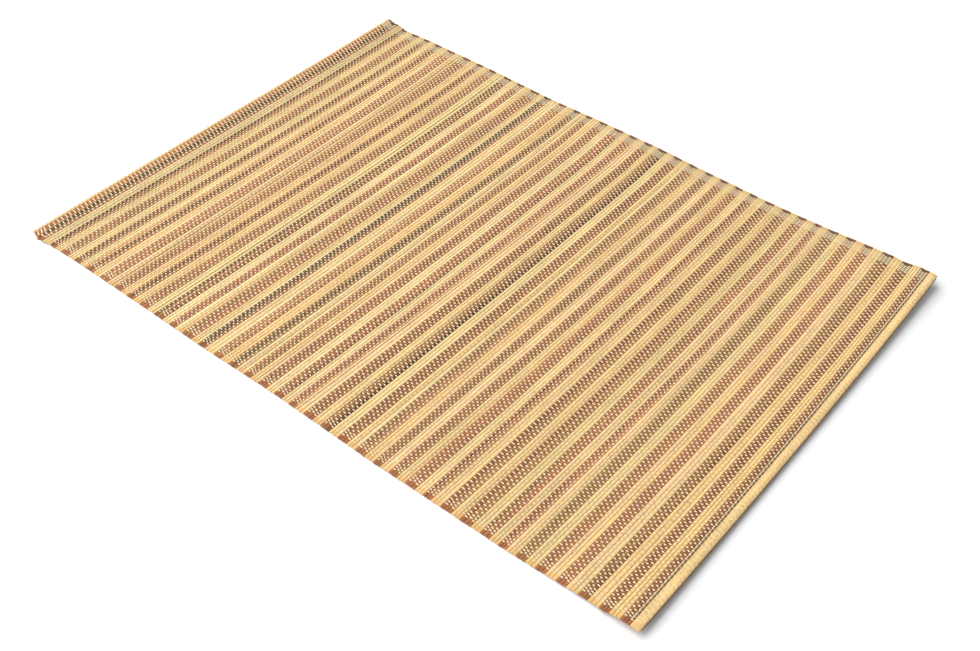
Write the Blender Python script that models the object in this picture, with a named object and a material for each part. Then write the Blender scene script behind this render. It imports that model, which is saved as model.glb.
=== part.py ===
"""A woven bamboo placemat lying flat on a table.

Flat bamboo splints lie side by side along Y, in dyed and natural bands, and cotton
threads are woven over and under them along X. Both short ends are folded under and
stitched down as hems. The mat is one sheet, so it is one solid, lofted along Y: its
section has the two folded hems, a rib for each splint on its upper side, and a plain
underside. The last hand's breadth of the right end curls up off the table.

The origin is on the table under the middle of the mat, +X along its length, +Z up.
"""
import math
import random

import bmesh
import bpy
import numpy as np

MM = 0.001

# Outline: over the folded ends, and along the splints
LENGTH = 451.8 * MM
WIDTH = 330.5 * MM

# Sheet and hems
SHEET = 1.35 * MM         # over a splint and the threads above and below it
RIB_HEIGHT = 0.3 * MM     # from the groove between two splints to the flat of a splint
RIB_SHOULDER = 0.2        # share of a splint's width that each rounded shoulder takes
HEM_GAP = 0.35 * MM       # between the sheet and the hem folded under it
HEM_WIDTH = 10.5 * MM
HEM_SLOPE = 11.0 * MM     # over which the sheet comes down to the table past a hem
FOLD_STEPS = 8
INNER_FOLD_STEPS = 2
UNDERSIDE_STEP = 8.0 * MM

# Splints, counted from the left fold
LEFT_BAND_START = 1.6 * MM
LEFT_BAND = (2.1 * MM, 2.1 * MM, 1.7 * MM, 1.7 * MM, 2.8 * MM)
BAND = 6.03 * MM          # three splints
BAND_PAIRS = 36
SPLINTS_IN_BAND = 3
RIGHT_BAND = (2.02 * MM, 2.02 * MM)
BAND_JITTER = 0.35 * MM
SPLINT_JITTER = 0.13      # share of a splint's width
WEAVE_SEED = 6219

# Where the weave is tight or slack: bands from the left, and how far an edge there is
# from its even place, in mm
SLACK = (
    (0, 0.0), (2, -2.3), (7, -3.2), (9, -4.4), (11, -1.7), (13, -2.3), (18, -1.3),
    (21, -1.5), (22, 0.1), (23, -2.0), (26, -0.2), (30, -1.0), (39, -0.9), (45, 0.3),
    (53, -1.2), (54, -0.3), (58, 0.6), (62, -1.4), (66, -0.9), (69, 0.8), (72, -0.3),
)

# How the splints lie askew, in mm: distance from the left fold, how far their middle bows
# to the right, and how far their far end leans to the right
SKEW = (
    (0, -0.6, -0.3), (11, 0.9, -1.5), (26, 2.3, -1.7), (70, 2.3, -3.1), (82, 2.2, -0.6),
    (118, 2.3, 2.0), (160, 2.0, 1.1), (205, 1.8, 1.2), (229, 1.7, 3.6), (245, 1.5, 2.0),
    (275, 1.2, 1.1), (298, 1.4, 2.1), (330, 1.9, 1.2), (355, 2.7, -0.2), (400, 3.1, -0.5),
    (420, 3.0, -0.4), (435, 2.1, 0.7), (451, 1.1, 0.0),
)
MEAN_BOW = 2 / 3          # a bowed splint's mean place, as a share of its bow

# The long edges, in mm: distance from the left fold, how far the near and the far edge
# stand out, and how far the far edge is off the table
EDGES = (
    (0, 0.0, 0.0, 0.0), (16, -0.2, 0.2, 0.1), (40, -0.9, 0.9, 0.8), (100, -0.6, 0.9, 1.3),
    (155, 0.0, 0.7, 0.5), (200, -0.6, 0.9, 1.6), (245, -0.1, 0.9, 2.3), (280, 0.9, 0.9, 1.5),
    (330, 0.6, 0.7, 1.0), (370, 0.4, 0.9, 1.3), (420, -0.9, 0.9, 1.8), (451, -0.4, 0.0, 0.0),
)
EDGE_STRETCH_START = 0.25  # share of the width from the middle, where an edge starts to stand out
EDGE_LIFT_START = 0.38

# How far the sheet stands off the table
CURL_NEAR = 2.7 * MM      # at the right fold, at the edges and the middle of the mat
CURL_MIDDLE = 1.1 * MM
CURL_FAR = 4.8 * MM
CURL_REACH_NEAR = 75.0 * MM
CURL_REACH_FAR = 110.0 * MM
CURL_POWER = 1.6
LEFT_CORNER_LIFT = 1.7 * MM
LEFT_CORNER_REACH = 26.0 * MM
STATIONS = (-0.5, -0.26, 0.0, 0.22, 0.4, 0.5)   # shares of the width, near to far

NATURAL = ("bamboo_natural", (0.80, 0.57, 0.29, 1.0))
DYED = ("bamboo_dyed_brown", (0.35, 0.15, 0.075, 1.0))

FOLD_RADIUS = SHEET + HEM_GAP / 2
HEM_RISE = SHEET + HEM_GAP
LEFT_FOLD = -LENGTH / 2 - SKEW[0][1] * MM * (1 - MEAN_BOW)
RIGHT_FOLD = LENGTH / 2 - SKEW[-1][1] * MM * (1 - MEAN_BOW)


def clear_scene():
    for obj in list(bpy.data.objects):
        bpy.data.objects.remove(obj, do_unlink=True)


def smooth(t):
    t = min(max(t, 0.0), 1.0)
    return t * t * (3.0 - 2.0 * t)


def read(table, column, place):
    """A column of a table at a place between its rows."""
    rows = np.array(table)
    return float(np.interp(place, rows[:, 0], rows[:, column]))


def splint_edges():
    """The X of each line between two splints, left to right, and each splint's colour."""
    rng = random.Random(WEAVE_SEED)
    edges = [LEFT_FOLD + LEFT_BAND_START]
    colours = []
    for width in LEFT_BAND:
        edges.append(edges[-1] + width)
        colours.append(DYED)
    start = edges[-1]
    bands = []
    for k in range(1, 2 * BAND_PAIRS + 1):
        jitter = rng.uniform(-BAND_JITTER, BAND_JITTER) if k < 2 * BAND_PAIRS else 0.0
        bands.append(start + BAND * k + read(SLACK, 1, k) * MM + jitter)
    for k, end in enumerate(bands):
        begin = edges[-1]
        width = (end - begin) / SPLINTS_IN_BAND
        for n in range(1, SPLINTS_IN_BAND + 1):
            shift = rng.uniform(-SPLINT_JITTER, SPLINT_JITTER) * width if n < SPLINTS_IN_BAND else 0.0
            edges.append(begin + width * n + shift)
            colours.append(DYED if k % 2 else NATURAL)
    for width in RIGHT_BAND:
        edges.append(edges[-1] + width)
        colours.append(NATURAL)
    return edges, colours


def rise(x):
    """How far the sheet's underside is raised by the hem under it."""
    from_fold = min(x - LEFT_FOLD, RIGHT_FOLD - x)
    return HEM_RISE * (1.0 - smooth((from_fold - HEM_WIDTH) / HEM_SLOPE))


def lift(x, y):
    """How far the mat stands off the table: the curled end, a raised corner, the far edge."""
    across = 2.0 * y / WIDTH
    tilt = (CURL_FAR - CURL_NEAR) / 2.0
    cup = (CURL_FAR + CURL_NEAR) / 2.0 - CURL_MIDDLE
    curl = CURL_MIDDLE + tilt * across + cup * across * across
    reach = CURL_REACH_NEAR + (CURL_REACH_FAR - CURL_REACH_NEAR) * (across + 1.0) / 2.0
    end = curl * max(0.0, 1.0 - (RIGHT_FOLD - x) / reach) ** CURL_POWER
    corner = LEFT_CORNER_LIFT * max(across, 0.0) ** 2
    corner *= 1.0 - smooth((x - LEFT_FOLD) / LEFT_CORNER_REACH)
    far_edge = smooth((y / WIDTH - EDGE_LIFT_START) / (0.5 - EDGE_LIFT_START))
    return end + corner + far_edge * read(EDGES, 3, (x - LEFT_FOLD) / MM) * MM


def skew(x, y):
    """How far the splints are off their mean place, bowed and leaning."""
    across = 2.0 * y / WIDTH
    place = (x - LEFT_FOLD) / MM
    bowed = read(SKEW, 1, place) * (1.0 - across * across - MEAN_BOW)
    return (bowed + read(SKEW, 2, place) * across / 2.0) * MM


def stretch(x, y):
    """How far the long edges stand out or in along Y."""
    share = smooth((abs(y) / WIDTH - EDGE_STRETCH_START) / (0.5 - EDGE_STRETCH_START))
    place = (x - LEFT_FOLD) / MM
    if y < 0.0:
        return -share * read(EDGES, 1, place) * MM
    return share * read(EDGES, 2, place) * MM


def arc(centre_x, radius, start, end, steps):
    """Points of a fold, about a centre halfway up the hem, from one angle to the other."""
    points = []
    for n in range(1, steps):
        angle = math.radians(start + (end - start) * n / steps)
        points.append((centre_x + radius * math.cos(angle), FOLD_RADIUS + radius * math.sin(angle)))
    return points


def ribbed_top(edges):
    """The upper side, left to right: a groove, then the two shoulders of each splint."""
    points = []
    for left, right in zip(edges, edges[1:]):
        width = right - left
        points.append((left, rise(left) + SHEET - RIB_HEIGHT))
        for x in (left + RIB_SHOULDER * width, right - RIB_SHOULDER * width):
            points.append((x, rise(x) + SHEET))
    points.append((edges[-1], rise(edges[-1]) + SHEET - RIB_HEIGHT))
    return points


def underside():
    """The underside between the two hems, right to left."""
    left = LEFT_FOLD + HEM_WIDTH
    right = RIGHT_FOLD - HEM_WIDTH
    steps = round((right - left) / UNDERSIDE_STEP)
    xs = [right + (left - right) * n / steps for n in range(steps + 1)]
    xs += [left + HEM_SLOPE * share for share in (0.33, 0.67, 1.0)]
    xs += [right - HEM_SLOPE * share for share in (0.33, 0.67, 1.0)]
    return [(x, rise(x)) for x in sorted(set(xs), reverse=True)]


def section():
    """The closed outline of the mat's section, before it is lifted anywhere."""
    edges, _ = splint_edges()
    left = LEFT_FOLD + FOLD_RADIUS
    right = RIGHT_FOLD - FOLD_RADIUS
    inner = HEM_GAP / 2
    points = [(LEFT_FOLD + HEM_WIDTH, 0.0), (left, 0.0)]
    points += arc(left, FOLD_RADIUS, 270.0, 90.0, FOLD_STEPS)
    points += ribbed_top(edges)
    points += arc(right, FOLD_RADIUS, 90.0, -90.0, FOLD_STEPS)
    points += [(right, 0.0), (RIGHT_FOLD - HEM_WIDTH, 0.0), (RIGHT_FOLD - HEM_WIDTH, SHEET)]
    points += [(right, SHEET)]
    points += arc(right, inner, -90.0, 90.0, INNER_FOLD_STEPS)
    points += [(right, HEM_RISE)]
    points += underside()
    points += [(left, HEM_RISE)]
    points += arc(left, inner, 90.0, 270.0, INNER_FOLD_STEPS)
    points += [(left, SHEET), (LEFT_FOLD + HEM_WIDTH, SHEET)]
    return points


def loft(points):
    """A closed mesh of the section carried straight along Y."""
    bm = bmesh.new()
    first = STATIONS[0] * WIDTH
    near_end = bm.faces.new([bm.verts.new((x, first, z)) for x, z in points])
    face = near_end
    for station in STATIONS[1:]:
        made = bmesh.ops.extrude_face_region(bm, geom=[face])["geom"]
        if face is not near_end:
            bm.faces.remove(face)
        face = next(g for g in made if isinstance(g, bmesh.types.BMFace))
        for vert in face.verts:
            vert.co.y = station * WIDTH
    bmesh.ops.recalc_face_normals(bm, faces=bm.faces[:])
    return bm


def colour_bands(bm):
    """Gives the upper faces of the dyed splints the second material."""
    edges, colours = splint_edges()
    for face in bm.faces:
        x = face.calc_center_median().x
        inside = [c for left, right, c in zip(edges, edges[1:], colours) if left <= x < right]
        face.material_index = int(bool(inside) and inside[0] is DYED and face.normal.z > 0.0)


def lay_down(bm):
    """Takes the straight mat to how it lies on the table."""
    for vert in bm.verts:
        x, y = vert.co.x, vert.co.y
        vert.co.x += skew(x, y)
        vert.co.y += stretch(x, y)
        vert.co.z += lift(x, y)


def finish(name, colour, roughness):
    material = bpy.data.materials.new(name)
    material.use_nodes = True
    shader = material.node_tree.nodes["Principled BSDF"]
    shader.inputs["Base Color"].default_value = colour
    shader.inputs["Roughness"].default_value = roughness
    shader.inputs["Metallic"].default_value = 0.0
    return material


def make_mat(collection):
    """The woven sheet, its dyed bands coloured on their own faces."""
    bm = loft(section())
    colour_bands(bm)
    lay_down(bm)
    mesh = bpy.data.meshes.new("mat")
    bm.to_mesh(mesh)
    bm.free()
    mesh.materials.append(finish(*NATURAL, 0.5))
    mesh.materials.append(finish(*DYED, 0.55))
    mat = bpy.data.objects.new("mat", mesh)
    collection.objects.link(mat)
    return mat


def main():
    clear_scene()
    collection = bpy.data.collections.new("bamboo_placemat")
    bpy.context.scene.collection.children.link(collection)
    make_mat(collection)


main()
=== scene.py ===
import math
import random
from collections import namedtuple
from itertools import groupby

import bpy
import numpy as np
from mathutils import Matrix, Vector


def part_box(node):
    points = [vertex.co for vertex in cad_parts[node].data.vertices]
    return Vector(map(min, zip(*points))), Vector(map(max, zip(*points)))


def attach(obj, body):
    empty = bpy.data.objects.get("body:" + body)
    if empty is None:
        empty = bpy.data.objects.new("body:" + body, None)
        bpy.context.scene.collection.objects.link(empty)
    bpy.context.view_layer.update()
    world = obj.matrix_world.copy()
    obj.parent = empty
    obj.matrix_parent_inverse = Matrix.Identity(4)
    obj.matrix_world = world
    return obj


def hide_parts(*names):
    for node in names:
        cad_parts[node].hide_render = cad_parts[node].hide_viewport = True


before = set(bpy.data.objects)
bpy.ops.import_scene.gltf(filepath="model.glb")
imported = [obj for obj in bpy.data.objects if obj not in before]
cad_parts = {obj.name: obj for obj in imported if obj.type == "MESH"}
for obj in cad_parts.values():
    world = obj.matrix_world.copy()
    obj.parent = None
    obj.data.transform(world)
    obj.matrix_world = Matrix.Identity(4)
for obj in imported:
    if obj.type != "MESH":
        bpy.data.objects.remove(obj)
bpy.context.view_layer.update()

# Splints
# Flat strips of split bamboo lie side by side along Y, in bands of three natural and three
# dyed brown. The weave holds them, and both ends of the mat are turned under as a hem.
MM = 0.001
WEAVE_SEED = 6219
TONE_SEED = 7
low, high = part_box("mat")
WIDTH = 330.5 * MM
SHEET = 1.35 * MM
HEM_GAP = 0.35 * MM
HEM_WIDTH = 10.5 * MM
HEM_SLOPE = 11.0 * MM
HEM_RISE = SHEET + HEM_GAP
FOLD_RADIUS = SHEET + HEM_GAP / 2
MID_RADIUS = FOLD_RADIUS - SHEET / 2
# The right end curls up off the table: how far at its near corner, middle and far corner, and
# how far in from the fold the curl starts. The far left corner is lifted too.
CURL_NEAR, CURL_MIDDLE, CURL_FAR = 2.7 * MM, 1.1 * MM, 4.8 * MM
CURL_REACH_NEAR, CURL_REACH_FAR = 75.0 * MM, 110.0 * MM
CURL_POWER = 1.6
CORNER_LIFT, CORNER_REACH = 1.7 * MM, 26.0 * MM

# Where the first whole splint over the left hem starts, from the fold, and the splints' widths
LEFT_BAND_START = 2.1 * MM
LEFT_BAND = (1.9 * MM, 2.4 * MM, 1.6 * MM, 1.55 * MM, 2.5 * MM)
BAND = 6.03 * MM
BAND_PAIRS, SPLINTS_IN_BAND = 36, 3
RIGHT_BAND = (3.9 * MM,)
BAND_JITTER, SPLINT_JITTER = 0.35 * MM, 0.13

# Where the weave is tight or slack: bands from the left, and how far an edge there is
# from its even place, in mm
SLACK = np.array((
    (0, 0.0), (1, -0.7), (2, -2.7), (5, -3.1), (7, -4.2), (9, -4.2), (10, -2.9), (11, -2.5),
    (13, -1.9), (15, -2.6), (18, -0.9), (19, -0.8), (21, -1.8), (22, -0.2), (24, -1.5), (25, -0.2),
    (28, -0.1), (30, -1.2), (31, -1.2), (34, -0.5), (36, -1.2), (39, -1.2), (42, -0.1), (45, 0.6),
    (47, -0.2), (49, -0.8), (51, -0.5), (52, -1.4), (54, -0.1), (55, -0.3), (56, 0.8), (58, 0.7),
    (61, -1.3), (63, -0.8), (66, -0.7), (67, 0.1), (69, 0.8), (72, -0.3),
))
# How the splints lie askew, in mm: distance from the left fold, how far their middle bows
# to the right, and how far their far end leans to the right
SKEW = np.array((
    (0, -0.6, -0.3), (11, 0.9, -1.5), (26, 2.3, -1.7), (70, 2.3, -3.1), (82, 2.2, -0.6),
    (118, 2.3, 2.0), (160, 2.0, 1.1), (205, 1.8, 1.2), (229, 1.7, 3.6), (245, 1.5, 2.0),
    (275, 1.2, 1.1), (298, 1.4, 2.1), (330, 1.9, 1.2), (355, 2.7, -0.2), (400, 3.1, -0.5),
    (420, 3.0, -0.4), (435, 2.1, 0.7), (451, 1.1, 0.0),
))
# The left hem is folded askew, in mm: distance from the left fold, how far the weave is slid to
# the far side, and how much further its near and its far end fan out, to the near and far side
ASKEW = np.array((
    (0, 0.3, 1.5, 0.9), (8.4, -0.5, 4.6, -0.7), (9.8, -0.4, 2.6, -0.4), (12, -0.2, 1.0, 0.1),
    (16, 0.0, 0.0, 0.0),
))
FAN_LENGTH, FAN_POWER = 14.0 * MM, 1.5
MEAN_BOW = 2 / 3
# The long edges, in mm: distance from the left fold, how far the near and the far edge
# stand out, and how far the far edge is off the table
EDGES = np.array((
    (0, 0.0, 0.0, 0.0), (16, -0.2, 0.2, 0.1), (40, -0.9, 0.9, 0.8), (100, -0.6, 0.9, 1.3),
    (155, 0.0, 0.7, 0.5), (200, -0.6, 0.9, 1.6), (245, -0.1, 0.9, 2.3), (280, 0.9, 0.9, 1.5),
    (330, 0.6, 0.7, 1.0), (370, 0.4, 0.9, 1.3), (420, -0.9, 0.9, 1.8), (451, -0.4, 0.0, 0.0),
))
EDGE_STRETCH_START, EDGE_LIFT_START = 0.25, 0.38
LEFT_FOLD = low.x - SKEW[0][1] * MM * (1.0 - MEAN_BOW)
RIGHT_FOLD = high.x - SKEW[-1][1] * MM * (1.0 - MEAN_BOW)

# The splint on the shoulder of the left and of the right fold: its width, how far in from the
# fold it lies, how far below the hem's top, and its tilt
FOLD_SPLINT = (2.8 * MM, 1.9 * MM)
FOLD_IN = (0.66 * MM, 0.9 * MM)
FOLD_BELOW = (0.12 * MM, 0.22 * MM)
FOLD_TILT = (math.radians(8.0), math.radians(-18.0))
HEM_SPLINT = 2.1 * MM
SPLINTS_UNDER = 5
# Counted from the fold: the longer ones of the splints under the left hem, and the dyed ones
# of those under the right hem
LONG_UNDER_LEFT, DYED_UNDER_RIGHT = 3, 3
# How much shorter the splints under the hems, and those over the left hem, are at the near
# and at the far end
SHORTER = {
    "under left": (1.9 * MM, 1.4 * MM), "inmost left": (4.0 * MM, 1.4 * MM),
    "under right": (2.6 * MM, 1.2 * MM), "left fold": (1.4 * MM, 0.0),
    (-1, 0): (2.4 * MM, 0.0), (-1, 1): (2.4 * MM, 0.0), (-1, 2): (2.4 * MM, 0.0),
    (-1, 3): (2.2 * MM, 0.0), (-1, 4): (0.8 * MM, 0.0),
}
SPLINT_THICK, THICK_RANGE = 0.62 * MM, (0.92, 1.05)
SPLINT_GAP = 0.07 * MM
END_SCATTER = 0.4 * MM
LEAN_SCATTER = 0.45
SPLINT_SEGMENTS = 20
CORNER_ROUND, CORNER_STEPS = 0.24, 2
SHARP_EDGE = math.radians(60.0)
SLOPE_STEP = 0.01 * MM
# A splint is uneven over some 2.5 mm across and 29 mm along: the pattern's scale per metre, how
# far it moves the surface, and how much of that goes sideways, along the splint and up
UNEVEN_SCALE = (400.0, 35.0, 400.0)
UNEVENNESS = 0.16 * MM
UNEVEN_WAYS = (1.0, 0.0, 0.35)
UNEVEN_SEED = 3


def smooth(t):
    t = np.clip(t, 0.0, 1.0)
    return t * t * (3.0 - 2.0 * t)


def rise(x):
    """How far the sheet is raised by the hem under it."""
    from_fold = np.minimum(x - LEFT_FOLD, RIGHT_FOLD - x)
    return HEM_RISE * (1.0 - smooth((from_fold - HEM_WIDTH) / HEM_SLOPE))


def lie(x, y, z):
    """Takes a point of the flat weave to where it lies: skewed splints, uneven edges, the curl."""
    across = 2.0 * y / WIDTH
    place = (x - LEFT_FOLD) / MM
    bow = np.interp(place, SKEW[:, 0], SKEW[:, 1]) * (1.0 - across**2 - MEAN_BOW)
    lean = np.interp(place, SKEW[:, 0], SKEW[:, 2]) + np.interp(x, lean_x, lean_scatter)
    sideways = (bow + lean * across / 2.0) * MM
    to_edge = smooth((np.abs(y) / WIDTH - EDGE_STRETCH_START) / (0.5 - EDGE_STRETCH_START))
    out = np.where(y < 0.0, -np.interp(place, EDGES[:, 0], EDGES[:, 1]),
                   np.interp(place, EDGES[:, 0], EDGES[:, 2])) * to_edge * MM
    near_fan, far_fan = [
        np.clip((FAN_LENGTH + side * y - WIDTH / 2) / FAN_LENGTH, 0.0, 1.0) ** FAN_POWER
        for side in (-1.0, 1.0)]
    slid, fan_near, fan_far = [np.interp(place, ASKEW[:, 0], ASKEW[:, n]) for n in (1, 2, 3)]
    out = out + (slid - near_fan * fan_near + far_fan * fan_far) * MM
    tilt = (CURL_FAR - CURL_NEAR) / 2.0
    cup = (CURL_FAR + CURL_NEAR) / 2.0 - CURL_MIDDLE
    curl = CURL_MIDDLE + tilt * across + cup * across**2
    reach = CURL_REACH_NEAR + (CURL_REACH_FAR - CURL_REACH_NEAR) * (across + 1.0) / 2.0
    curl = curl * np.clip(1.0 - (RIGHT_FOLD - x) / reach, 0.0, None) ** CURL_POWER
    corner = CORNER_LIFT * np.clip(across, 0.0, None) ** 2 * (1.0 - smooth((x - LEFT_FOLD) / CORNER_REACH))
    to_far_edge = smooth((y / WIDTH - EDGE_LIFT_START) / (0.5 - EDGE_LIFT_START))
    far_lift = to_far_edge * np.interp(place, EDGES[:, 0], EDGES[:, 3]) * MM
    return np.stack([x + sideways, y + out, z + curl + corner + far_lift], axis=-1)


TONES = {
    "straw": "#D9B77F", "cream": "#E1C591", "peach": "#DCB686", "green straw": "#D4B981",
    "orange": "#DAB279", "olive": "#C0A370", "tan": "#C99E6C", "gold": "#CDAA70",
    "brown": "#9E6C43", "reddish": "#A16948", "olive brown": "#956F42", "light brown": "#B18154",
    "chestnut": "#8F6039", "dark brown": "#805632", "dark olive": "#69512F", "umber": "#5C4B26",
    "moss": "#6A5434", "near black": "#4A3822",
}
COMMON_NATURAL = ("straw", "straw", "cream", "peach", "green straw")
COMMON_DYED = ("brown", "brown", "reddish", "olive brown")
TONE_SPREAD = {False: 0.04, True: 0.07}
# Splints that stand out: band, first and last splint in it, tone. Band -1 is the brown one
# beside the left fold, and the even bands are the natural ones.
ODD = (
    (-1, 2, 3, "umber"), (0, 0, 2, "cream"), (1, 0, 0, "dark olive"), (1, 2, 2, "light brown"),
    (4, 0, 2, "green straw"), (5, 0, 1, "dark brown"), (5, 2, 2, "light brown"), (6, 2, 2, "tan"),
    (7, 0, 0, "light brown"), (7, 1, 1, "dark olive"), (8, 2, 2, "cream"), (9, 1, 1, "light brown"),
    (10, 1, 1, "olive"), (10, 2, 2, "tan"), (12, 1, 2, "orange"), (13, 1, 1, "dark olive"),
    (14, 2, 2, "tan"), (16, 0, 0, "green straw"), (17, 0, 0, "dark olive"), (17, 2, 2, "dark brown"),
    (18, 0, 2, "cream"), (20, 2, 2, "tan"), (22, 0, 0, "gold"), (23, 0, 1, "moss"),
    (24, 2, 2, "cream"), (25, 0, 1, "light brown"), (26, 0, 2, "orange"), (27, 1, 1, "dark olive"),
    (30, 0, 0, "orange"), (32, 0, 2, "cream"), (33, 2, 2, "dark brown"), (35, 2, 2, "light brown"),
    (36, 2, 2, "cream"), (37, 0, 2, "chestnut"), (38, 2, 2, "tan"), (39, 0, 0, "olive brown"),
    (39, 1, 1, "dark brown"), (39, 2, 2, "near black"), (41, 0, 2, "chestnut"), (42, 1, 1, "gold"),
    (42, 2, 2, "cream"), (43, 2, 2, "light brown"), (44, 0, 1, "orange"), (48, 2, 2, "tan"),
    (51, 2, 2, "light brown"), (53, 0, 0, "dark brown"), (54, 2, 2, "tan"), (55, 0, 0, "dark brown"),
    (59, 0, 0, "chestnut"), (59, 2, 2, "light brown"), (60, 0, 0, "peach"), (60, 2, 2, "olive"),
    (61, 0, 2, "olive brown"), (62, 0, 2, "green straw"), (64, 2, 2, "orange"), (66, 0, 1, "peach"),
    (67, 2, 2, "dark brown"), (68, 0, 1, "orange"), (69, 1, 2, "dark brown"), (70, 0, 2, "gold"),
    (71, 1, 1, "dark brown"), (72, 0, 0, "straw"),
)
# Splints with a line of dark rind left along their right edge: band, splint
RIND = {(10, 1), (16, 1), (28, 1), (30, 1), (36, 0), (38, 2), (51, 0)}
# Splints near a fold that lie in one shed with the splint before them
TOGETHER = {(-1, 1), (-1, 3), "right fold"}

Splint = namedtuple("Splint", "name x z slope width dyed shed")


def laid_splints():
    """Each splint in order along the sheet, from the end of the left hem to that of the right."""
    rng = random.Random(WEAVE_SEED)
    edges, names = [LEFT_BAND_START], []
    for n, width in enumerate(LEFT_BAND):
        edges.append(edges[-1] + width)
        names.append((-1, n))
    start = edges[-1]
    ends = []
    for k in range(1, 2 * BAND_PAIRS + 1):
        jitter = rng.uniform(-BAND_JITTER, BAND_JITTER) if k < 2 * BAND_PAIRS else 0.0
        ends.append(start + BAND * k + float(np.interp(k, SLACK[:, 0], SLACK[:, 1])) * MM + jitter)
    for k, end in enumerate(ends):
        begin = edges[-1]
        width = (end - begin) / SPLINTS_IN_BAND
        for n in range(SPLINTS_IN_BAND):
            last = n == SPLINTS_IN_BAND - 1
            shift = 0.0 if last else rng.uniform(-SPLINT_JITTER, SPLINT_JITTER) * width
            edges.append(begin + width * (n + 1) + shift)
            names.append((k, n))
    for n, width in enumerate(RIGHT_BAND):
        edges.append(edges[-1] + width)
        names.append((2 * BAND_PAIRS, n))

    top, bottom = HEM_RISE + SHEET / 2, FOLD_RADIUS - MID_RADIUS
    left = [["left fold", LEFT_FOLD + FOLD_IN[0], top - FOLD_BELOW[0], FOLD_TILT[0],
             FOLD_SPLINT[0], False]]
    right = [["right fold", RIGHT_FOLD - FOLD_IN[1], top - FOLD_BELOW[1], FOLD_TILT[1],
              FOLD_SPLINT[1], False]]
    for n in range(SPLINTS_UNDER):
        inward = HEM_SPLINT * (n + 0.5)
        name = "under left" if n < LONG_UNDER_LEFT else "inmost left"
        left.insert(0, [name, LEFT_FOLD + inward, bottom, math.pi, HEM_SPLINT, False])
        dyed = n < DYED_UNDER_RIGHT
        right.append(["under right", RIGHT_FOLD - inward, bottom, -math.pi, HEM_SPLINT, dyed])
    upper = []
    for name, begin, end in zip(names, edges, edges[1:]):
        x = LEFT_FOLD + (begin + end) / 2
        slope = math.atan((rise(x + SLOPE_STEP) - rise(x - SLOPE_STEP)) / (2 * SLOPE_STEP))
        upper.append([name, x, float(rise(x)) + SHEET / 2, slope, end - begin, bool(name[0] % 2)])
    made, shed = [], 0
    for splint in left + upper + right:
        shed += splint[0] not in TOGETHER
        made.append(Splint(*splint, shed))
    return made


def add(tree, kind, inputs=(), **settings):
    """Adds a node. inputs maps a socket's name or number to a value or to another node's socket."""
    node = tree.nodes.new(kind)
    for name, value in settings.items():
        setattr(node, name, value)
    for name, value in dict(inputs).items():
        if isinstance(value, bpy.types.NodeSocket):
            tree.links.new(value, node.inputs[name])
        else:
            node.inputs[name].default_value = value
    return node


def geometry_tree(name, *sizes):
    """A tree with its input and output, and one named input for each (name, socket kind)."""
    tree = bpy.data.node_groups.new(name, "GeometryNodeTree")
    tree.interface.new_socket("Geometry", in_out="INPUT", socket_type="NodeSocketGeometry")
    for size, kind in sizes:
        tree.interface.new_socket(size, in_out="INPUT", socket_type="NodeSocket" + kind)
    tree.interface.new_socket("Geometry", in_out="OUTPUT", socket_type="NodeSocketGeometry")
    return tree, tree.nodes.new("NodeGroupInput").outputs


def grow(name, mesh, tree, values):
    """Runs a tree on a mesh and leaves the result as a plain mesh object."""
    piece = bpy.data.objects.new(name, mesh)
    bpy.context.scene.collection.objects.link(piece)
    modifier = piece.modifiers.new(tree.name, "NODES")
    modifier.node_group = tree
    for socket in tree.interface.items_tree:
        if socket.in_out == "INPUT" and socket.name in values:
            modifier[socket.identifier] = values[socket.name]
    evaluated = piece.evaluated_get(bpy.context.evaluated_depsgraph_get())
    grown = bpy.data.meshes.new_from_object(evaluated)
    piece.modifiers.remove(modifier)
    piece.data = grown
    grown.name = name
    return piece


def points_mesh(name, points, **attributes):
    """A mesh of loose points with named attributes."""
    mesh = bpy.data.meshes.new(name)
    mesh.from_pydata([tuple(p) for p in points], [], [])
    for key, values in attributes.items():
        values = np.array(values)
        kind, field = {
            "f1": ("FLOAT", "value"), "f2": ("FLOAT_VECTOR", "vector"),
            "i1": ("INT", "value"), "b1": ("BOOLEAN", "value"),
        }[values.dtype.kind + str(values.ndim)]
        mesh.attributes.new(key, kind, "POINT").data.foreach_set(field, values.ravel())
    return mesh


def lay_down(piece):
    """Moves every point of a piece from the flat weave to where it lies."""
    mesh = piece.data
    co = np.empty(len(mesh.vertices) * 3, np.float32)
    mesh.vertices.foreach_get("co", co)
    co = co.reshape(-1, 3).astype(float)
    mesh.vertices.foreach_set("co", lie(co[:, 0], co[:, 1], co[:, 2]).astype(np.float32).ravel())
    mesh.update()


def linear(hex_colour):
    """An sRGB hex colour as linear RGBA."""
    parts = [int(hex_colour[i:i + 2], 16) / 255 for i in (1, 3, 5)]
    return (*[c / 12.92 if c <= 0.04045 else ((c + 0.055) / 1.055) ** 2.4 for c in parts], 1.0)


# The bamboo's patterns, as scales per metre: fibres 0.25 mm wide and 30 mm long, patches 1.2 mm
# across and 2.5 mm long, and a slow change of tone over 3 mm across and 40 mm along
FIBRES = (4000.0, 33.0, 4000.0)
PATCHES = (800.0, 400.0, 800.0)
SLOW_CHANGE = (330.0, 25.0, 330.0)
# Where a splint starts to darken towards its left and right edge with painted shade, for the grooves between
# splints and the flank away from the light, and how wide the edge of the dark rind is, as shares of its width
# from its middle
PAINTED_SHADE_FROM = (-0.38, 0.34)
RIND_FADE = 0.1
# The bare ends past the last thread, near and far: how far from the splint's end they start and
# are whole, and how much of their own colour they show
NEAR_BARE = (4.2 * MM, 2.6 * MM, 0.45)
FAR_BARE = (3.0 * MM, 1.6 * MM, 0.65)
FIBRE_GLOSS, FIBRE_RELIEF = (-0.07, 0.12), 0.05 * MM


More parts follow.
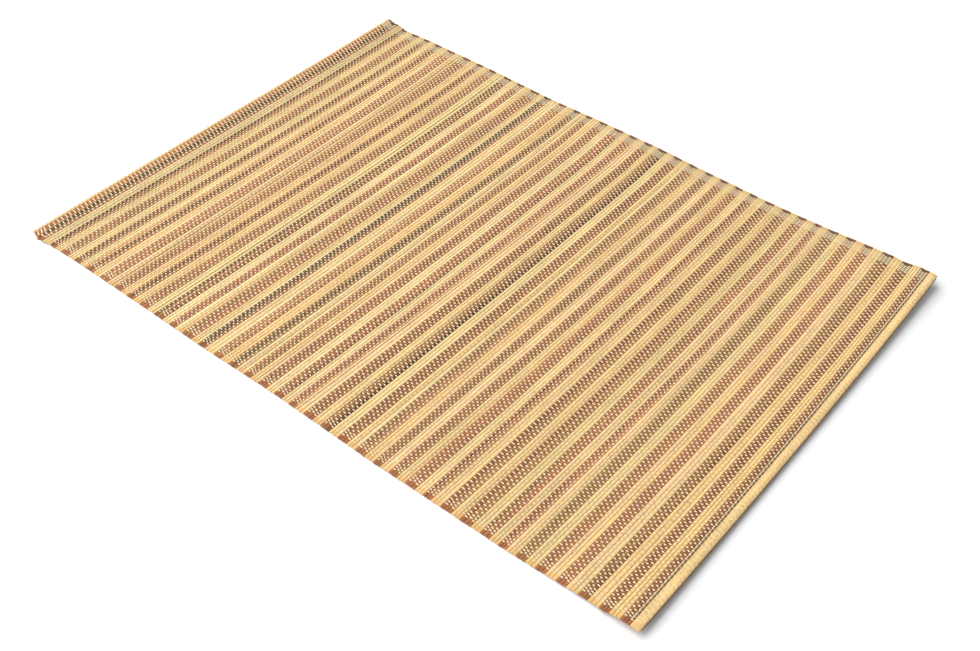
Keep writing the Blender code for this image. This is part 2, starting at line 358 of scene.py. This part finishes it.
def bamboo(name, end_colours, mottle, painted_left_edge_shade, painted_right_edge_shade, rind_from, rind_depth, roughness):
    """Split bamboo: silky and fibrous, each splint in its own tone, with painted shade along its long edges
    for the grooves between splints, deepest on the right, the side away from the light. Its bare ends have
    colours of their own, near and far."""
    material = bpy.data.materials.new(name)
    material.use_nodes = True
    tree = material.node_tree
    shader = tree.nodes["Principled BSDF"]
    place = add(tree, "ShaderNodeTexCoord").outputs["Object"]
    tone = add(tree, "ShaderNodeAttribute", attribute_name="tone").outputs["Vector"]
    across = add(tree, "ShaderNodeAttribute", attribute_name="across").outputs["Fac"]
    rind = add(tree, "ShaderNodeAttribute", attribute_name="rind").outputs["Fac"]
    along = add(tree, "ShaderNodeMapping", {"Vector": place, "Scale": FIBRES})
    fibre = add(tree, "ShaderNodeTexNoise",
                {"Vector": along.outputs[0], "Scale": 1.0, "Detail": 2.0, "Roughness": 0.6}).outputs[0]
    near = add(tree, "ShaderNodeMapping", {"Vector": place, "Scale": PATCHES})
    patch = add(tree, "ShaderNodeTexNoise",
                {"Vector": near.outputs[0], "Scale": 1.0, "Detail": 1.0}).outputs[0]
    wide = add(tree, "ShaderNodeMapping", {"Vector": place, "Scale": SLOW_CHANGE})
    slow = add(tree, "ShaderNodeTexNoise",
               {"Vector": wide.outputs[0], "Scale": 1.0, "Detail": 1.0}).outputs[0]
    fine = add(tree, "ShaderNodeMath", {0: fibre, 1: patch}, operation="ADD")
    all_three = add(tree, "ShaderNodeMath", {0: fine.outputs[0], 1: slow}, operation="ADD")
    shade = add(tree, "ShaderNodeMath", {0: all_three.outputs[0], 1: mottle, 2: 1.0 - 1.5 * mottle},
                operation="MULTIPLY_ADD")
    # Painted shade along the long edges, for the grooves between splints and the flank away from the light,
    # deepest on the right, and the line of dark rind that some splints keep
    to_left = add(tree, "ShaderNodeMapRange", {"Value": across, "From Min": PAINTED_SHADE_FROM[0], "From Max": -0.5})
    to_right = add(tree, "ShaderNodeMapRange", {"Value": across, "From Min": PAINTED_SHADE_FROM[1], "From Max": 0.5})
    left = add(tree, "ShaderNodeMix",
               {"Factor": to_left.outputs[0], "A": (1.0, 1.0, 1.0, 1.0), "B": (*painted_left_edge_shade, 1.0)},
               data_type="RGBA")
    edged = add(tree, "ShaderNodeMix",
                {"Factor": to_right.outputs[0], "A": left.outputs["Result"], "B": (*painted_right_edge_shade, 1.0)},
                data_type="RGBA")
    at_rind = add(tree, "ShaderNodeMapRange",
                  {"Value": across, "From Min": rind_from, "From Max": rind_from + RIND_FADE})
    dark = add(tree, "ShaderNodeMath", {0: at_rind.outputs[0], 1: rind}, operation="MULTIPLY")
    kept = add(tree, "ShaderNodeMath", {0: dark.outputs[0], 1: -rind_depth, 2: 1.0},
               operation="MULTIPLY_ADD")
    lit = add(tree, "ShaderNodeMath", {0: shade.outputs[0], 1: kept.outputs[0]}, operation="MULTIPLY")
    shaded = add(tree, "ShaderNodeVectorMath", {0: tone, 1: edged.outputs["Result"]}, operation="MULTIPLY")
    colour = add(tree, "ShaderNodeVectorMath", {0: shaded.outputs[0], "Scale": lit.outputs[0]},
                 operation="SCALE")
    apart = add(tree, "ShaderNodeSeparateXYZ", {"Vector": place})
    near_bare = add(tree, "ShaderNodeMapRange",
                    {"Value": apart.outputs["Y"], "From Min": NEAR_BARE[0] - WIDTH / 2,
                     "From Max": NEAR_BARE[1] - WIDTH / 2, "To Min": 0.0, "To Max": NEAR_BARE[2]})
    far_bare = add(tree, "ShaderNodeMapRange",
                   {"Value": apart.outputs["Y"], "From Min": WIDTH / 2 - FAR_BARE[0],
                    "From Max": WIDTH / 2 - FAR_BARE[1], "To Min": 0.0, "To Max": FAR_BARE[2]})
    at_near = add(tree, "ShaderNodeMix",
                  {"Factor": near_bare.outputs[0], "A": colour.outputs[0], "B": linear(end_colours[0])},
                  data_type="RGBA")
    ends = add(tree, "ShaderNodeMix",
               {"Factor": far_bare.outputs[0], "A": at_near.outputs["Result"], "B": linear(end_colours[1])},
               data_type="RGBA")
    tree.links.new(ends.outputs["Result"], shader.inputs["Base Color"])
    polish = add(tree, "ShaderNodeMapRange",
                 {"Value": fibre, "To Min": roughness + FIBRE_GLOSS[0],
                  "To Max": roughness + FIBRE_GLOSS[1]})
    tree.links.new(polish.outputs[0], shader.inputs["Roughness"])
    bump = add(tree, "ShaderNodeBump", {"Height": fibre, "Strength": 0.25, "Distance": FIBRE_RELIEF})
    tree.links.new(bump.outputs[0], shader.inputs["Normal"])
    shader.inputs["Specular IOR Level"].default_value = 0.22
    return material


# Their edge shades are painted shade: the grooves between splints, and the right flanks, away from the light
natural_bamboo = bamboo(
    "natural split bamboo", end_colours=("#D6A662", "#D0AC74"), mottle=0.58,
    painted_left_edge_shade=(0.9, 0.84, 0.7), painted_right_edge_shade=(0.6, 0.5, 0.34), rind_from=0.24, rind_depth=0.7,
    roughness=0.5)
dyed_bamboo = bamboo(
    "bamboo dyed brown", end_colours=("#9C5A34", "#5C3E28"), mottle=0.75,
    painted_left_edge_shade=(0.55, 0.46, 0.36), painted_right_edge_shade=(0.4, 0.31, 0.22), rind_from=0.02, rind_depth=0.75,
    roughness=0.55)

tree, given = geometry_tree(
    "splint bars", ("Segments", "Int"), ("Corner", "Float"), ("Corner Steps", "Int"),
    ("Unevenness", "Float"), ("Seed", "Int"), ("Natural", "Material"), ("Dyed", "Material"))
outline = add(tree, "GeometryNodeCurvePrimitiveQuadrilateral", {"Width": 1.0, "Height": 1.0})
rounded = add(tree, "GeometryNodeFilletCurve",
              {"Curve": outline.outputs[0], "Count": given["Corner Steps"], "Radius": given["Corner"]},
              mode="POLY")
grain = add(tree, "GeometryNodeCurvePrimitiveLine", {"Start": (0.0, -0.5, 0.0), "End": (0.0, 0.5, 0.0)})
stations = add(tree, "GeometryNodeResampleCurve", {"Curve": grain.outputs[0], "Count": given["Segments"]})
plain_bar = add(tree, "GeometryNodeCurveToMesh",
                {"Curve": stations.outputs[0], "Profile Curve": rounded.outputs[0], "Fill Caps": True})
bar_place = add(tree, "GeometryNodeInputPosition")
bar_apart = add(tree, "ShaderNodeSeparateXYZ", {0: bar_place.outputs[0]})
bar = add(tree, "GeometryNodeStoreNamedAttribute",
          {"Geometry": plain_bar.outputs[0], "Name": "across", "Value": bar_apart.outputs["X"]},
          data_type="FLOAT", domain="POINT")
turn = add(tree, "GeometryNodeInputNamedAttribute", {"Name": "turn"}, data_type="FLOAT")
size = add(tree, "GeometryNodeInputNamedAttribute", {"Name": "size"}, data_type="FLOAT_VECTOR")
is_dyed = add(tree, "GeometryNodeInputNamedAttribute", {"Name": "dyed"}, data_type="BOOLEAN")
rotation = add(tree, "ShaderNodeCombineXYZ", {"Y": turn.outputs[0]})
bars = add(tree, "GeometryNodeInstanceOnPoints",
           {"Points": given["Geometry"], "Instance": bar.outputs[0], "Rotation": rotation.outputs[0],
            "Scale": size.outputs[0]})
real = add(tree, "GeometryNodeRealizeInstances", {"Geometry": bars.outputs[0]})
where = add(tree, "GeometryNodeInputPosition")
stretched = add(tree, "ShaderNodeVectorMath", {0: where.outputs[0], 1: UNEVEN_SCALE},
                operation="MULTIPLY")
noise = add(tree, "ShaderNodeTexNoise",
            {"Vector": stretched.outputs[0], "W": given["Seed"], "Scale": 1.0, "Detail": 1.0},
            noise_dimensions="4D")
centred = add(tree, "ShaderNodeVectorMath", {0: noise.outputs["Color"], 1: (0.5, 0.5, 0.5)},
              operation="SUBTRACT")
amount = add(tree, "ShaderNodeVectorMath", {0: centred.outputs[0], "Scale": given["Unevenness"]},
             operation="SCALE")
sideways = add(tree, "ShaderNodeVectorMath", {0: amount.outputs[0], 1: UNEVEN_WAYS},
               operation="MULTIPLY")
uneven = add(tree, "GeometryNodeSetPosition", {"Geometry": real.outputs[0], "Offset": sideways.outputs[0]})
smoothed = add(tree, "GeometryNodeSetShadeSmooth", {"Geometry": uneven.outputs[0], "Shade Smooth": True})
edge_angle = add(tree, "GeometryNodeInputMeshEdgeAngle")
steep = add(tree, "FunctionNodeCompare", {0: edge_angle.outputs[0], 1: SHARP_EDGE},
            data_type="FLOAT", operation="GREATER_THAN")
creased = add(tree, "GeometryNodeSetShadeSmooth",
              {"Geometry": smoothed.outputs[0], "Selection": steep.outputs[0], "Shade Smooth": False},
              domain="EDGE")
plain = add(tree, "GeometryNodeSetMaterial", {"Geometry": creased.outputs[0], "Material": given["Natural"]})
both = add(tree, "GeometryNodeSetMaterial",
           {"Geometry": plain.outputs[0], "Selection": is_dyed.outputs[0], "Material": given["Dyed"]})
add(tree, "NodeGroupOutput", {0: both.outputs[0]})

splint_list = laid_splints()
rng = np.random.default_rng(TONE_SEED)
edge_x, tones = [LEFT_FOLD], []
for splint in splint_list:
    band, number = splint.name if isinstance(splint.name, tuple) else (None, None)
    if number == 0:
        edge_x.append(splint.x - splint.width / 2)
    common = COMMON_DYED if splint.dyed else COMMON_NATURAL
    tone = common[rng.integers(len(common))]
    for odd_band, first, last, odd_tone in ODD:
        if band == odd_band and first <= number <= last:
            tone = odd_tone
    if splint.name == "left fold":
        tone = "tan"
    tones.append(np.array(linear(TONES[tone])[:3]) * rng.normal(1.0, TONE_SPREAD[splint.dyed]))
edge_x.append(RIGHT_FOLD)
lean_x = np.array(edge_x)
lean_scatter = rng.normal(0.0, LEAN_SCATTER, len(lean_x))
lean_scatter[[0, 1, -2, -1]] = 0.0

count = len(splint_list)
near_end = rng.uniform(0.0, END_SCATTER, count)
far_end = rng.uniform(0.0, END_SCATTER, count)
for n, splint in enumerate(splint_list):
    near_end[n] += SHORTER.get(splint.name, (0.0, 0.0))[0]
    far_end[n] += SHORTER.get(splint.name, (0.0, 0.0))[1]
thick = SPLINT_THICK * rng.uniform(*THICK_RANGE, count)
wide = np.array([s.width for s in splint_list]) - SPLINT_GAP
long = WIDTH - near_end - far_end
splints = grow(
    "splints",
    points_mesh("splint_places", [(s.x, y, s.z) for s, y in zip(splint_list, (near_end - far_end) / 2)],
                turn=[-s.slope for s in splint_list], size=np.stack([wide, long, thick], axis=1),
                dyed=[s.dyed for s in splint_list], tone=tones,
                rind=[float(s.name in RIND) for s in splint_list]),
    tree,
    {"Segments": SPLINT_SEGMENTS + 1, "Corner": CORNER_ROUND, "Corner Steps": CORNER_STEPS,
     "Unevenness": UNEVENNESS, "Seed": UNEVEN_SEED, "Natural": natural_bamboo, "Dyed": dyed_bamboo})
lay_down(splints)
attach(splints, "root")
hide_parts("mat")

# Threads
# Cotton threads run the length of the mat, each over one splint and under the next, and
# its neighbour the other way. Along both long edges they are packed close as a selvedge.
THREAD_WIDE = 0.61 * MM
THREAD_THICK = 0.27 * MM
WARP_PITCH = 1.583 * MM
PITCH_GROWTH = 0.03
NEAR_BARE_END = 3.7 * MM
FAR_BARE_END = 3.2 * MM
NEAR_SELVEDGE = 5
FAR_SELVEDGE = 9
NEAR_SELVEDGE_PITCH = 0.98 * MM
FAR_SELVEDGE_PITCH = 0.78 * MM
DIVE, DIVE_SHARE = 0.42 * MM, 0.22
DASH_SLANT = 0.55 * MM
LOOSE_END = 2.2 * MM
FIELD_PIECES = 4
THREAD_SEED, SEED_RANGE = 5, 50.0
# A thread wanders sideways over some 22 mm, and swells and thins over some 2 mm: the scales per
# metre, how far it wanders, and by how much of its width it swells
WANDER_SCALE, SWELL_SCALE = 45.0, 450.0
THREAD_WANDER, THREAD_SWELL = 0.85 * MM, 1.6
SHARP_BEND = math.radians(70.0)
# The ply's width, slant and relief, how dark the painted shade in its grooves and the slubs are, at least and
# at most. Slubs are about 2.5 mm long.
THREAD_PLY, PLY_TURN, PLY_RELIEF = 0.35 * MM, 0.6, 0.05 * MM
GROOVE_SHADE, SLUB_SHADE, SLUB_SCALE = (0.88, 1.03), (0.86, 1.06), 400.0
# Painted shade on a thread where it dives between two splints, among natural and dyed splints: how much of
# its colour is left there
PAINTED_DIVE_SHADE, PAINTED_DIVE_SHADE_AMONG_DYED = (0.87, 0.79, 0.64, 1.0), (0.45, 0.36, 0.27, 1.0)


def cotton(name, colour, colour_on_dyed, ply_width, turn):
    """Twisted cotton: matt and slightly hairy, with a slanting ply and slubs in it."""
    material = bpy.data.materials.new(name)
    material.use_nodes = True
    tree = material.node_tree
    shader = tree.nodes["Principled BSDF"]
    place = add(tree, "ShaderNodeTexCoord").outputs["Object"]
    slanted = add(tree, "ShaderNodeMapping", {"Vector": place, "Rotation": (0.0, 0.0, turn)})
    # A wave of scale 1 repeats every pi / 10 metres
    ply = add(tree, "ShaderNodeTexWave",
              {"Vector": slanted.outputs[0], "Scale": math.pi / 10.0 / ply_width, "Distortion": 0.6,
               "Detail": 1.0, "Detail Scale": 2.0}).outputs["Fac"]
    slub = add(tree, "ShaderNodeTexNoise",
               {"Vector": place, "Scale": SLUB_SCALE, "Detail": 2.0}).outputs[0]
    # Painted shade in the ply's grooves
    groove = add(tree, "ShaderNodeMapRange",
                 {"Value": ply, "To Min": GROOVE_SHADE[0], "To Max": GROOVE_SHADE[1]})
    worn = add(tree, "ShaderNodeMapRange",
               {"Value": slub, "From Min": 0.3, "From Max": 0.7, "To Min": SLUB_SHADE[0],
                "To Max": SLUB_SHADE[1]})
    shade = add(tree, "ShaderNodeMath", {0: groove.outputs[0], 1: worn.outputs[0]}, operation="MULTIPLY")
    among_dyed = add(tree, "ShaderNodeAttribute", attribute_name="among_dyed").outputs["Fac"]
    own = add(tree, "ShaderNodeMix",
              {"Factor": among_dyed, "A": linear(colour), "B": linear(colour_on_dyed)},
              data_type="RGBA")
    tint = add(tree, "ShaderNodeVectorMath", {0: own.outputs["Result"], "Scale": shade.outputs[0]},
               operation="SCALE")
    # Painted shade where it dives between two splints, browner among dyed splints
    side = add(tree, "ShaderNodeAttribute", attribute_name="side").outputs["Fac"]
    from_dive = add(tree, "ShaderNodeMath", {0: side}, operation="ABSOLUTE")
    diving = add(tree, "ShaderNodeMapRange",
                 {"Value": from_dive.outputs[0], "From Min": 0.25, "From Max": 0.95, "To Min": 1.0,
                  "To Max": 0.0})
    dive_shade = add(tree, "ShaderNodeMix", {"Factor": among_dyed, "A": PAINTED_DIVE_SHADE, "B": PAINTED_DIVE_SHADE_AMONG_DYED},
                data_type="RGBA")
    dive_shaded = add(tree, "ShaderNodeMix",
                 {"Factor": diving.outputs[0], "A": (1.0, 1.0, 1.0, 1.0), "B": dive_shade.outputs["Result"]},
                 data_type="RGBA")
    final = add(tree, "ShaderNodeVectorMath", {0: tint.outputs[0], 1: dive_shaded.outputs["Result"]},
                operation="MULTIPLY")
    tree.links.new(final.outputs[0], shader.inputs["Base Color"])
    bump = add(tree, "ShaderNodeBump", {"Height": ply, "Strength": 0.4, "Distance": PLY_RELIEF})
    tree.links.new(bump.outputs[0], shader.inputs["Normal"])
    shader.inputs["Roughness"].default_value = 0.85
    shader.inputs["Sheen Weight"].default_value = 0.15
    return material


cream_cotton = cotton("cream cotton thread", "#EDD5A2", "#FBE1B9", THREAD_PLY, PLY_TURN)
dull_cotton = cotton("dusty cotton thread", "#EED8A4", "#EADCB4", THREAD_PLY, PLY_TURN)


def course(parity):
    """One thread's way through the weave: points, the side of the splints it lies on (1 above,
    -1 below) and whether the splint is dyed."""
    points = []
    height = (SPLINT_THICK + THREAD_THICK) / 2
    for shed, group in groupby(splint_list, key=lambda splint: splint.shed):
        group = list(group)
        side = 1.0 if (shed + parity) % 2 else -1.0
        for place, splint in enumerate(group):
            reach = splint.width / 2 - min(DIVE, DIVE_SHARE * splint.width)
            for out in (-reach, reach):
                x = splint.x + math.cos(splint.slope) * out - math.sin(splint.slope) * side * height
                z = splint.z + math.sin(splint.slope) * out + math.cos(splint.slope) * side * height
                along_float = (place + 0.5 + out / splint.width) / len(group) - 0.5
                points.append((x, -DASH_SLANT * along_float, z, side, float(splint.dyed)))
    for at, inward in ((0, 1), (-1, -2)):
        end, next_in = np.array(points[at]), np.array(points[inward])
        out = (end - next_in) * np.array([1.0, 0.0, 0.0, 0.0, 0.0])
        tail = end + out / np.linalg.norm(out) * LOOSE_END
        points.insert(0 if at == 0 else len(points), tuple(tail))
    return np.array(points)


def course_object(parity):
    points = course(parity)
    mesh = points_mesh("course", points[:, :3], side=points[:, 3], among_dyed=points[:, 4])
    mesh.edges.add(len(points) - 1)
    mesh.edges.foreach_set("vertices", [v for n in range(len(points) - 1) for v in (n, n + 1)])
    guide = bpy.data.objects.new(f"course_{parity}", mesh)
    bpy.context.scene.collection.objects.link(guide)
    guide.hide_render = True
    return guide


courses = [course_object(0), course_object(1)]

tree, given = geometry_tree(
    "woven threads", ("Even Course", "Object"), ("Odd Course", "Object"), ("Wide", "Float"),
    ("Thick", "Float"), ("Wander", "Float"), ("Swell", "Float"), ("Seed", "Int"),
    ("Thread", "Material"))
course_index = add(tree, "GeometryNodeInputNamedAttribute", {"Name": "course"}, data_type="INT")
own_seed = add(tree, "GeometryNodeInputNamedAttribute", {"Name": "own_seed"}, data_type="FLOAT")
join = tree.nodes.new("GeometryNodeJoinGeometry")
for name in ("Odd Course", "Even Course"):
    info = add(tree, "GeometryNodeObjectInfo", {"Object": given[name]})
    kept = add(tree, "GeometryNodeGeometryToInstance", {0: info.outputs["Geometry"]})
    tree.links.new(kept.outputs[0], join.inputs[0])
rows = add(tree, "GeometryNodeInstanceOnPoints",
           {"Points": given["Geometry"], "Instance": join.outputs[0], "Pick Instance": True,
            "Instance Index": course_index.outputs[0]})
real = add(tree, "GeometryNodeRealizeInstances", {"Geometry": rows.outputs[0]})
where = add(tree, "GeometryNodeInputPosition")
apart = add(tree, "ShaderNodeSeparateXYZ", {0: where.outputs[0]})
drift_place = add(tree, "ShaderNodeCombineXYZ",
                  {"X": apart.outputs["X"], "Y": own_seed.outputs[0], "Z": 0.0})
slow = add(tree, "ShaderNodeTexNoise",
           {"Vector": drift_place.outputs[0], "W": given["Seed"], "Scale": WANDER_SCALE, "Detail": 3.0},
           noise_dimensions="4D")
centred = add(tree, "ShaderNodeMath", {0: slow.outputs[0], 1: 0.5}, operation="SUBTRACT")
amount = add(tree, "ShaderNodeMath", {0: centred.outputs[0], 1: given["Wander"]}, operation="MULTIPLY")
sideways = add(tree, "ShaderNodeCombineXYZ", {"Y": amount.outputs[0]})
wandering = add(tree, "GeometryNodeSetPosition",
                {"Geometry": real.outputs[0], "Offset": sideways.outputs[0]})
line = add(tree, "GeometryNodeMeshToCurve", {0: wandering.outputs[0]})
fine = add(tree, "ShaderNodeTexNoise",
           {"Vector": drift_place.outputs[0], "W": given["Seed"], "Scale": SWELL_SCALE, "Detail": 1.0},
           noise_dimensions="4D")
uneven = add(tree, "ShaderNodeMath", {0: fine.outputs[0], 1: 0.5}, operation="SUBTRACT")
radius = add(tree, "ShaderNodeMath", {0: uneven.outputs[0], 1: given["Swell"], 2: 1.0},
             operation="MULTIPLY_ADD")
swelling = add(tree, "GeometryNodeSetCurveRadius",
               {"Curve": line.outputs[0], "Radius": radius.outputs[0]})
facing = add(tree, "GeometryNodeSetCurveNormal",
             {"Curve": swelling.outputs[0], "Normal": (0.0, 1.0, 0.0)}, mode="FREE")
box = add(tree, "GeometryNodeCurvePrimitiveQuadrilateral",
          {"Width": given["Wide"], "Height": given["Thick"]})
strand = add(tree, "GeometryNodeCurveToMesh",
             {"Curve": facing.outputs[0], "Profile Curve": box.outputs[0], "Fill Caps": True})
smoothed = add(tree, "GeometryNodeSetShadeSmooth", {"Geometry": strand.outputs[0], "Shade Smooth": True})
edge_angle = add(tree, "GeometryNodeInputMeshEdgeAngle")
bend = add(tree, "FunctionNodeCompare", {0: edge_angle.outputs[0], 1: SHARP_BEND},
           data_type="FLOAT", operation="LESS_THAN")
creased = add(tree, "GeometryNodeSetShadeSmooth",
              {"Geometry": smoothed.outputs[0], "Selection": bend.outputs[0], "Shade Smooth": False},
              domain="EDGE")
final = add(tree, "GeometryNodeSetMaterial", {"Geometry": creased.outputs[0], "Material": given["Thread"]})
add(tree, "NodeGroupOutput", {0: final.outputs[0]})

near_start = -WIDTH / 2 + NEAR_BARE_END
far_start = WIDTH / 2 - FAR_BARE_END
near_rows = [near_start + n * NEAR_SELVEDGE_PITCH for n in range(NEAR_SELVEDGE)]
far_rows = [far_start - n * FAR_SELVEDGE_PITCH for n in range(FAR_SELVEDGE)][::-1]
field_span = far_rows[0] - near_rows[-1]
field_count = round(field_span / WARP_PITCH) - 1
field_share = np.arange(1, field_count + 1) / (field_count + 1)
field_rows = list(near_rows[-1] + field_span * field_share * (1.0 - PITCH_GROWTH / 2 * (1.0 - field_share)))
warp = near_rows + field_rows + far_rows
seeds = rng.uniform(0.0, SEED_RANGE, len(warp))


def thread_piece(name, chosen, cotton_thread):
    """The chosen warps as one piece."""
    piece = grow(
        name,
        points_mesh(name + "_rows", [(0.0, warp[n], 0.0) for n in chosen],
                    course=np.array([n % 2 for n in chosen], dtype=np.int32),
                    own_seed=seeds[list(chosen)]),
        tree,
        {"Even Course": courses[0], "Odd Course": courses[1], "Wide": THREAD_WIDE,
         "Thick": THREAD_THICK, "Wander": THREAD_WANDER, "Swell": THREAD_SWELL, "Seed": THREAD_SEED,
         "Thread": cotton_thread})
    lay_down(piece)
    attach(piece, "root")
    return piece


first, last = NEAR_SELVEDGE, NEAR_SELVEDGE + field_count
threads = [thread_piece("near_selvedge", range(0, first), cream_cotton),
           thread_piece("far_selvedge", range(last, len(warp)), dull_cotton)]
for k in range(FIELD_PIECES):
    a = first + field_count * k // FIELD_PIECES
    b = first + field_count * (k + 1) // FIELD_PIECES
    threads.append(thread_piece(f"threads_{k + 1}", range(a, b), cream_cotton))
for guide in courses:
    bpy.data.objects.remove(guide)

# Hem seam
# A row of machine stitches in pale sewing thread runs along the right fold and holds the hem
# down, through both layers. Each stitch is a short arc that sinks in at its ends.
SEAM_FROM_FOLD = 6.35 * MM
SEAM_BARE_ENDS = 4 * MM
STITCH_PITCH = 3.15 * MM
STITCH_LENGTH = 2.3 * MM
STITCH_THREAD = 0.86 * MM
STITCH_SINK = 0.45 * MM
STITCH_SCATTER, STITCH_TURN = 0.04 * MM, 0.04
STITCH_STEPS, STITCH_SIDES = 6, 6
SEWING_PLY, SEWING_TURN = 0.3 * MM, 2.2

seam_cotton = cotton("pale sewing thread", "#D2C4A0", "#D2C4A0", SEWING_PLY, SEWING_TURN)
tree, given = geometry_tree(
    "seam stitches", ("Length", "Float"), ("Sink", "Float"), ("Thread Width", "Float"),
    ("Steps", "Int"), ("Sides", "Int"), ("Thread", "Material"))
half_length = add(tree, "ShaderNodeMath", {0: given["Length"], 1: 0.5}, operation="MULTIPLY")
minus_half = add(tree, "ShaderNodeMath", {0: half_length.outputs[0], 1: -1.0}, operation="MULTIPLY")
lower = add(tree, "ShaderNodeMath", {0: given["Sink"], 1: -1.0}, operation="MULTIPLY")
start = add(tree, "ShaderNodeCombineXYZ", {"Y": minus_half.outputs[0], "Z": lower.outputs[0]})
end = add(tree, "ShaderNodeCombineXYZ", {"Y": half_length.outputs[0], "Z": lower.outputs[0]})
start_pull = add(tree, "ShaderNodeCombineXYZ", {"Y": minus_half.outputs[0], "Z": given["Sink"]})
end_pull = add(tree, "ShaderNodeCombineXYZ", {"Y": half_length.outputs[0], "Z": given["Sink"]})
arc = add(tree, "GeometryNodeCurvePrimitiveBezierSegment",
          {"Resolution": given["Steps"], "Start": start.outputs[0], "Start Handle": start_pull.outputs[0],
           "End Handle": end_pull.outputs[0], "End": end.outputs[0]})
girth = add(tree, "ShaderNodeMath", {0: given["Thread Width"], 1: 0.5}, operation="MULTIPLY")
ring = add(tree, "GeometryNodeCurvePrimitiveCircle",
           {"Resolution": given["Sides"], "Radius": girth.outputs[0]})
stitch = add(tree, "GeometryNodeCurveToMesh",
             {"Curve": arc.outputs[0], "Profile Curve": ring.outputs[0], "Fill Caps": True})
turn = add(tree, "GeometryNodeInputNamedAttribute", {"Name": "turn"}, data_type="FLOAT")
rotation = add(tree, "ShaderNodeCombineXYZ", {"Z": turn.outputs[0]})
row = add(tree, "GeometryNodeInstanceOnPoints",
          {"Points": given["Geometry"], "Instance": stitch.outputs[0], "Rotation": rotation.outputs[0]})
real = add(tree, "GeometryNodeRealizeInstances", {"Geometry": row.outputs[0]})
smoothed = add(tree, "GeometryNodeSetShadeSmooth", {"Geometry": real.outputs[0], "Shade Smooth": True})
final = add(tree, "GeometryNodeSetMaterial", {"Geometry": smoothed.outputs[0], "Material": given["Thread"]})
add(tree, "NodeGroupOutput", {0: final.outputs[0]})

seam_x = RIGHT_FOLD - SEAM_FROM_FOLD
seam_z = float(rise(seam_x)) + SHEET / 2 + SPLINT_THICK / 2 + STITCH_THREAD / 4
stitch_count = int((WIDTH - SEAM_BARE_ENDS) / STITCH_PITCH)
stitch_y = (np.arange(stitch_count) - (stitch_count - 1) / 2) * STITCH_PITCH
seam = grow(
    "hem_seam",
    points_mesh("stitch_places", [(seam_x + shift, y, seam_z) for y, shift in
                                  zip(stitch_y, rng.normal(0.0, STITCH_SCATTER, stitch_count))],
                turn=rng.normal(0.0, STITCH_TURN, stitch_count), side=np.ones(stitch_count)),
    tree,
    {"Length": STITCH_LENGTH, "Sink": STITCH_SINK, "Thread Width": STITCH_THREAD,
     "Steps": STITCH_STEPS, "Sides": STITCH_SIDES, "Thread": seam_cotton})
lay_down(seam)
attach(seam, "root")
threads.append(seam)

# Table and light
# A plain white sheet under the mat, lit softly from the left, with the camera above the
# near right side.
FLOOR_SIZE, FLOOR_DROP = 6.0, -0.03 * MM
floor_mesh = bpy.data.meshes.new("floor")
half = FLOOR_SIZE / 2
corners = [(x, y, FLOOR_DROP) for x, y in ((-half, -half), (half, -half), (half, half), (-half, half))]
floor_mesh.from_pydata(corners, [], [(0, 1, 2, 3)])
floor = bpy.data.objects.new("floor", floor_mesh)
bpy.context.scene.collection.objects.link(floor)
# Matt white paper without gloss, so that only the mat's soft shadow shows on it
paper = bpy.data.materials.new("white paper sweep")
paper.use_nodes = True
paper.node_tree.nodes["Principled BSDF"].inputs["Base Color"].default_value = linear("#F4F4F4")
paper.node_tree.nodes["Principled BSDF"].inputs["Roughness"].default_value = 0.9
floor_mesh.materials.append(paper)

ROOM_LIGHT, ROOM_STRENGTH = (0.93, 0.97, 1.0, 1.0), 0.4
world = bpy.data.worlds.new("studio")
world.use_nodes = True
world.node_tree.nodes["Background"].inputs["Color"].default_value = ROOM_LIGHT
world.node_tree.nodes["Background"].inputs["Strength"].default_value = ROOM_STRENGTH
bpy.context.scene.world = world

SOFTBOX_PLACE = Vector((-2.0, -0.8, 1.88))
SOFTBOX_SIZE, SOFTBOX_POWER = 4.5, 226.0
lamp = bpy.data.lights.new("large softbox", "AREA")
lamp.shape = "SQUARE"
lamp.size = SOFTBOX_SIZE
lamp.energy = SOFTBOX_POWER
softbox = bpy.data.objects.new("large_softbox", lamp)
softbox.location = SOFTBOX_PLACE
softbox.rotation_euler = (-SOFTBOX_PLACE).to_track_quat("-Z", "Y").to_euler()
bpy.context.scene.collection.objects.link(softbox)

CAMERA_PLACE = Vector((0.37064, -0.49777, 0.54162))
CAMERA_AIM = Vector((0.03892, -0.04353, 0.0))
CAMERA_ROLL = math.radians(3.247)
CAMERA_LENS = 48.9
camera_data = bpy.data.cameras.new("camera")
camera_data.lens = CAMERA_LENS
camera_data.sensor_width = 36.0
camera_data.clip_start = 0.01
camera = bpy.data.objects.new("camera", camera_data)
looking = (CAMERA_AIM - CAMERA_PLACE).to_track_quat("-Z", "Y").to_matrix().to_4x4()
camera.matrix_world = Matrix.Translation(CAMERA_PLACE) @ looking @ Matrix.Rotation(CAMERA_ROLL, 4, "Z")
bpy.context.scene.collection.objects.link(camera)
bpy.context.scene.camera = camera
bpy.context.scene.view_settings.view_transform = "Standard"
